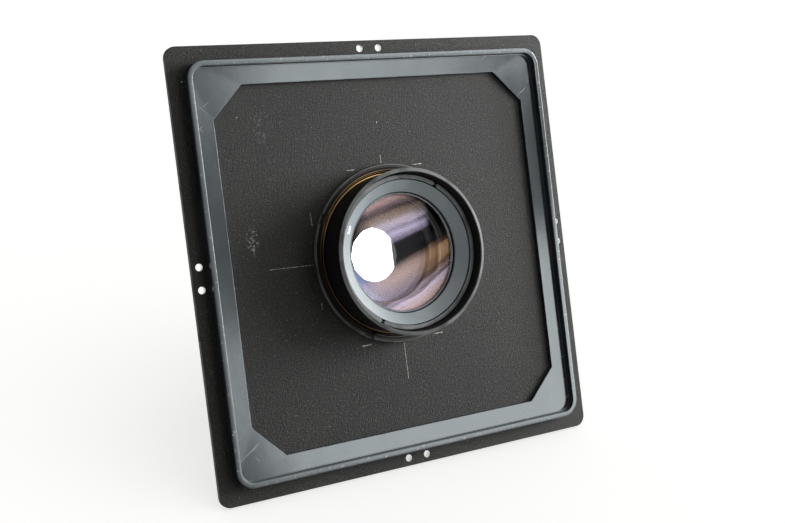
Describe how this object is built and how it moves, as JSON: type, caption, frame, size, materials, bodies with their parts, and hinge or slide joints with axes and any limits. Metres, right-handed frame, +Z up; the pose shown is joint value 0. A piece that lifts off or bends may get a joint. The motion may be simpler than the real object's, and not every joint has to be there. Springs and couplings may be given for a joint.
{
  "type": "large-format lens board with shutter and lens",
  "caption": "Square lens board for a view camera, with a light-trap frame and a lens in a leaf shutter, standing on its edge and leaning back on the lens.",
  "frame": {"origin": "bottom centre of the bounding box, on the surface that the unit stands on", "axes": "+X towards the board's right seen from its rear side, +Y from the rear side towards the front of the lens, +Z up; the board leans back 24 degrees, so the lens axis points along +Y and 24 degrees down"},
  "size_m": [0.171, 0.1314, 0.157],
  "materials": {
    "board_crackle": "black crackle paint",
    "light_trap": "satin blue-grey black, worn at the rim",
    "brass_black": "brass, blackened, bare at the edges",
    "shutter_paint": "fine black enamel, bare brass thread",
    "satin_black": "black anodised, satin",
    "satin_grey": "satin grey",
    "satin_chrome": "satin",
    "steel": "fine brushed",
    "blade_black": "blackened",
    "brass": "turned",
    "coated_glass": "polished, multicoated"
  },
  "bodies": {
    "board_unit": {"lens_board_plate": "board_crackle", "light_trap_frame": "light_trap", "retaining_ring": "brass_black", "locating_screw": "steel", "shutter_housing": "shutter_paint", "shutter_front_plate": "satin_black", "iris_pivot_plate": "steel", "aperture_scale": "satin_grey", "shutter_pivot_plate": "steel", "mainspring_drum": "brass", "retard_cassette": "steel", "speed_ring_retainer": "satin_chrome", "cable_release_socket": "satin_chrome", "flash_sync_socket": "satin_chrome", "rear_barrel": "satin_black", "rear_name_ring": "satin_grey", "rear_lock_ring": "satin_black", "rear_glass_retainer": "satin_grey", "rear_outer_glass": "coated_glass", "rear_spacer": "satin_black", "rear_inner_glass": "coated_glass", "rear_inner_retainer": "satin_black", "front_barrel": "satin_black", "front_filter_ring": "satin_black", "front_name_ring": "satin_black", "front_lock_ring": "satin_black", "front_outer_glass": "coated_glass", "front_spacer": "satin_black", "front_middle_glass": "coated_glass", "front_inner_glass": "coated_glass", "front_inner_retainer": "satin_black"},
    "iris_ring": {"iris_cam_ring": "steel", "aperture_lever": "satin_black"},
    "sector_ring": {"shutter_sector_ring": "steel", "preview_lever": "satin_chrome"},
    "cocking": {"cocking_lever": "satin_chrome"},
    "release": {"release_lever": "satin_chrome"},
    "speed_setting": {"speed_ring": "satin_black"},
    "iris_blade_01": {"iris_blade_01": "blade_black"},
    "iris_blade_02": {"iris_blade_02": "blade_black"},
    "iris_blade_03": {"iris_blade_03": "blade_black"},
    "iris_blade_04": {"iris_blade_04": "blade_black"},
    "iris_blade_05": {"iris_blade_05": "blade_black"},
    "iris_blade_06": {"iris_blade_06": "blade_black"},
    "iris_blade_07": {"iris_blade_07": "blade_black"},
    "iris_blade_08": {"iris_blade_08": "blade_black"},
    "iris_blade_09": {"iris_blade_09": "blade_black"},
    "iris_blade_10": {"iris_blade_10": "blade_black"},
    "iris_blade_11": {"iris_blade_11": "blade_black"},
    "iris_blade_12": {"iris_blade_12": "blade_black"},
    "shutter_blade_1": {"shutter_blade_1": "blade_black"},
    "shutter_blade_2": {"shutter_blade_2": "blade_black"},
    "shutter_blade_3": {"shutter_blade_3": "blade_black"},
    "shutter_blade_4": {"shutter_blade_4": "blade_black"},
    "shutter_blade_5": {"shutter_blade_5": "blade_black"}
  },
  "joints": [
    {"name": "aperture_turn", "type": "hinge", "parent": "board_unit", "child": "iris_ring", "pos_m": [0, -0.01144, 0.07095], "axis": [0, -0.9135, 0.4067], "range_deg": [-19.39, 13.47]},
    {"name": "iris_blade_01_pivot", "type": "hinge", "parent": "board_unit", "child": "iris_blade_01", "pos_m": [0.038, -0.01756, 0.07368], "axis": [0, -0.9135, 0.4067], "range_deg": [-19.39, 13.47]},
    {"name": "iris_blade_02_pivot", "type": "hinge", "parent": "board_unit", "child": "iris_blade_02", "pos_m": [0.03291, -0.00983, 0.09103], "axis": [0, -0.9135, 0.4067], "range_deg": [-19.39, 13.47]},
    {"name": "iris_blade_03_pivot", "type": "hinge", "parent": "board_unit", "child": "iris_blade_03", "pos_m": [0.019, -0.00417, 0.10374], "axis": [0, -0.9135, 0.4067], "range_deg": [-19.39, 13.47]},
    {"name": "iris_blade_04_pivot", "type": "hinge", "parent": "board_unit", "child": "iris_blade_04", "pos_m": [0, -0.0021, 0.10839], "axis": [0, -0.9135, 0.4067], "range_deg": [-19.39, 13.47]},
    {"name": "iris_blade_05_pivot", "type": "hinge", "parent": "board_unit", "child": "iris_blade_05", "pos_m": [-0.019, -0.00417, 0.10374], "axis": [0, -0.9135, 0.4067], "range_deg": [-19.39, 13.47]},
    {"name": "iris_blade_06_pivot", "type": "hinge", "parent": "board_unit", "child": "iris_blade_06", "pos_m": [-0.03291, -0.00983, 0.09103], "axis": [0, -0.9135, 0.4067], "range_deg": [-19.39, 13.47]},
    {"name": "iris_blade_07_pivot", "type": "hinge", "parent": "board_unit", "child": "iris_blade_07", "pos_m": [-0.038, -0.01756, 0.07368], "axis": [0, -0.9135, 0.4067], "range_deg": [-19.39, 13.47]},
    {"name": "iris_blade_08_pivot", "type": "hinge", "parent": "board_unit", "child": "iris_blade_08", "pos_m": [-0.03291, -0.02529, 0.05632], "axis": [0, -0.9135, 0.4067], "range_deg": [-19.39, 13.47]},
    {"name": "iris_blade_09_pivot", "type": "hinge", "parent": "board_unit", "child": "iris_blade_09", "pos_m": [-0.019, -0.03095, 0.04361], "axis": [0, -0.9135, 0.4067], "range_deg": [-19.39, 13.47]},
    {"name": "iris_blade_10_pivot", "type": "hinge", "parent": "board_unit", "child": "iris_blade_10", "pos_m": [0, -0.03302, 0.03896], "axis": [0, -0.9135, 0.4067], "range_deg": [-19.39, 13.47]},
    {"name": "iris_blade_11_pivot", "type": "hinge", "parent": "board_unit", "child": "iris_blade_11", "pos_m": [0.019, -0.03095, 0.04361], "axis": [0, -0.9135, 0.4067], "range_deg": [-19.39, 13.47]},
    {"name": "iris_blade_12_pivot", "type": "hinge", "parent": "board_unit", "child": "iris_blade_12", "pos_m": [0.03291, -0.02529, 0.05632], "axis": [0, -0.9135, 0.4067], "range_deg": [-19.39, 13.47]},
    {"name": "preview_turn", "type": "hinge", "parent": "board_unit", "child": "sector_ring", "pos_m": [0, -0.00925, 0.06997], "axis": [0, -0.9135, 0.4067], "range_deg": [0, 17]},
    {"name": "shutter_blade_1_pivot", "type": "hinge", "parent": "board_unit", "child": "shutter_blade_1", "pos_m": [0.042, -0.00559, 0.06835], "axis": [0, -0.9135, 0.4067], "range_deg": [0, 34]},
    {"name": "shutter_blade_2_pivot", "type": "hinge", "parent": "board_unit", "child": "shutter_blade_2", "pos_m": [0.01298, 0.01065, 0.10484], "axis": [0, -0.9135, 0.4067], "range_deg": [0, 34]},
    {"name": "shutter_blade_3_pivot", "type": "hinge", "parent": "board_unit", "child": "shutter_blade_3", "pos_m": [-0.03398, 0.00445, 0.0909], "axis": [0, -0.9135, 0.4067], "range_deg": [0, 34]},
    {"name": "shutter_blade_4_pivot", "type": "hinge", "parent": "board_unit", "child": "shutter_blade_4", "pos_m": [-0.03398, -0.01563, 0.04579], "axis": [0, -0.9135, 0.4067], "range_deg": [0, 34]},
    {"name": "shutter_blade_5_pivot", "type": "hinge", "parent": "board_unit", "child": "shutter_blade_5", "pos_m": [0.01298, -0.02184, 0.03186], "axis": [0, -0.9135, 0.4067], "range_deg": [0, 34]},
    {"name": "cocking_turn", "type": "hinge", "parent": "board_unit", "child": "cocking", "pos_m": [0, -0.00377, 0.06753], "axis": [0, -0.9135, 0.4067], "range_deg": [0, 42], "stiffness_Nm_per_rad": 0.06, "springref_deg": -11.46},
    {"name": "release_press", "type": "hinge", "parent": "board_unit", "child": "release", "pos_m": [0.04135, 0.00436, 0.08039], "axis": [0, -0.9135, 0.4067], "range_deg": [0, 8], "stiffness_Nm_per_rad": 0.05, "springref_deg": -5.73},
    {"name": "speed_turn", "type": "hinge", "parent": "board_unit", "child": "speed_setting", "pos_m": [0, 0.00363, 0.06424], "axis": [0, -0.9135, 0.4067], "range_deg": [-90, 36]}
  ],
  "couplings": [
    {"joint": "iris_blade_01_pivot", "follows": "aperture_turn", "ratio": 1},
    {"joint": "iris_blade_02_pivot", "follows": "aperture_turn", "ratio": 1},
    {"joint": "iris_blade_03_pivot", "follows": "aperture_turn", "ratio": 1},
    {"joint": "iris_blade_04_pivot", "follows": "aperture_turn", "ratio": 1},
    {"joint": "iris_blade_05_pivot", "follows": "aperture_turn", "ratio": 1},
    {"joint": "iris_blade_06_pivot", "follows": "aperture_turn", "ratio": 1},
    {"joint": "iris_blade_07_pivot", "follows": "aperture_turn", "ratio": 1},
    {"joint": "iris_blade_08_pivot", "follows": "aperture_turn", "ratio": 1},
    {"joint": "iris_blade_09_pivot", "follows": "aperture_turn", "ratio": 1},
    {"joint": "iris_blade_10_pivot", "follows": "aperture_turn", "ratio": 1},
    {"joint": "iris_blade_11_pivot", "follows": "aperture_turn", "ratio": 1},
    {"joint": "iris_blade_12_pivot", "follows": "aperture_turn", "ratio": 1},
    {"joint": "shutter_blade_1_pivot", "follows": "preview_turn", "ratio": 2},
    {"joint": "shutter_blade_2_pivot", "follows": "preview_turn", "ratio": 2},
    {"joint": "shutter_blade_3_pivot", "follows": "preview_turn", "ratio": 2},
    {"joint": "shutter_blade_4_pivot", "follows": "preview_turn", "ratio": 2},
    {"joint": "shutter_blade_5_pivot", "follows": "preview_turn", "ratio": 2}
  ]
}
